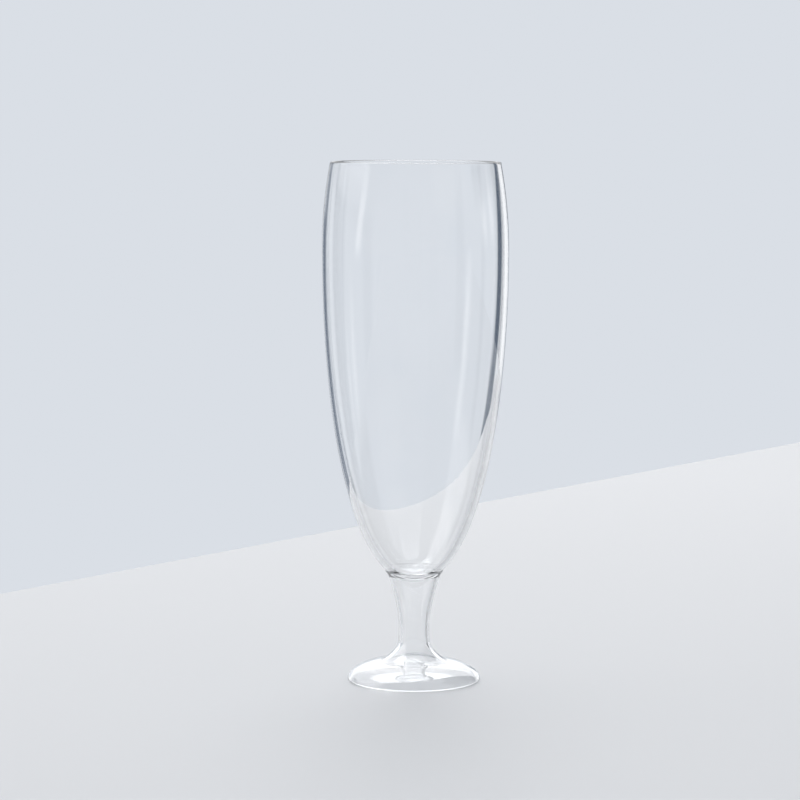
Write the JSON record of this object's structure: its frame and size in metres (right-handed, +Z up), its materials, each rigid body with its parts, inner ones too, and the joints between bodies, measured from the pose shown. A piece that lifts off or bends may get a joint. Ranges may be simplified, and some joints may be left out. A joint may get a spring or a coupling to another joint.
{
  "type": "pilsner glass",
  "caption": "Tall tulip-shaped pilsner glass of thin clear glass on a short hollow waisted stem and a small hollow domed foot.",
  "frame": {"origin": "on the table, in the middle of the foot's resting ring", "axes": "+Z up along the glass's axis of revolution; +X and +Y are any two level directions"},
  "size_m": [0.0718, 0.0718, 0.2],
  "materials": {
    "clear_glass": "clear, fire-polished"
  },
  "bodies": {
    "root": {"bowl": "clear_glass", "upper_weld_ring": "clear_glass", "stem": "clear_glass", "lower_weld_ring": "clear_glass", "foot": "clear_glass"}
  },
  "joints": []
}
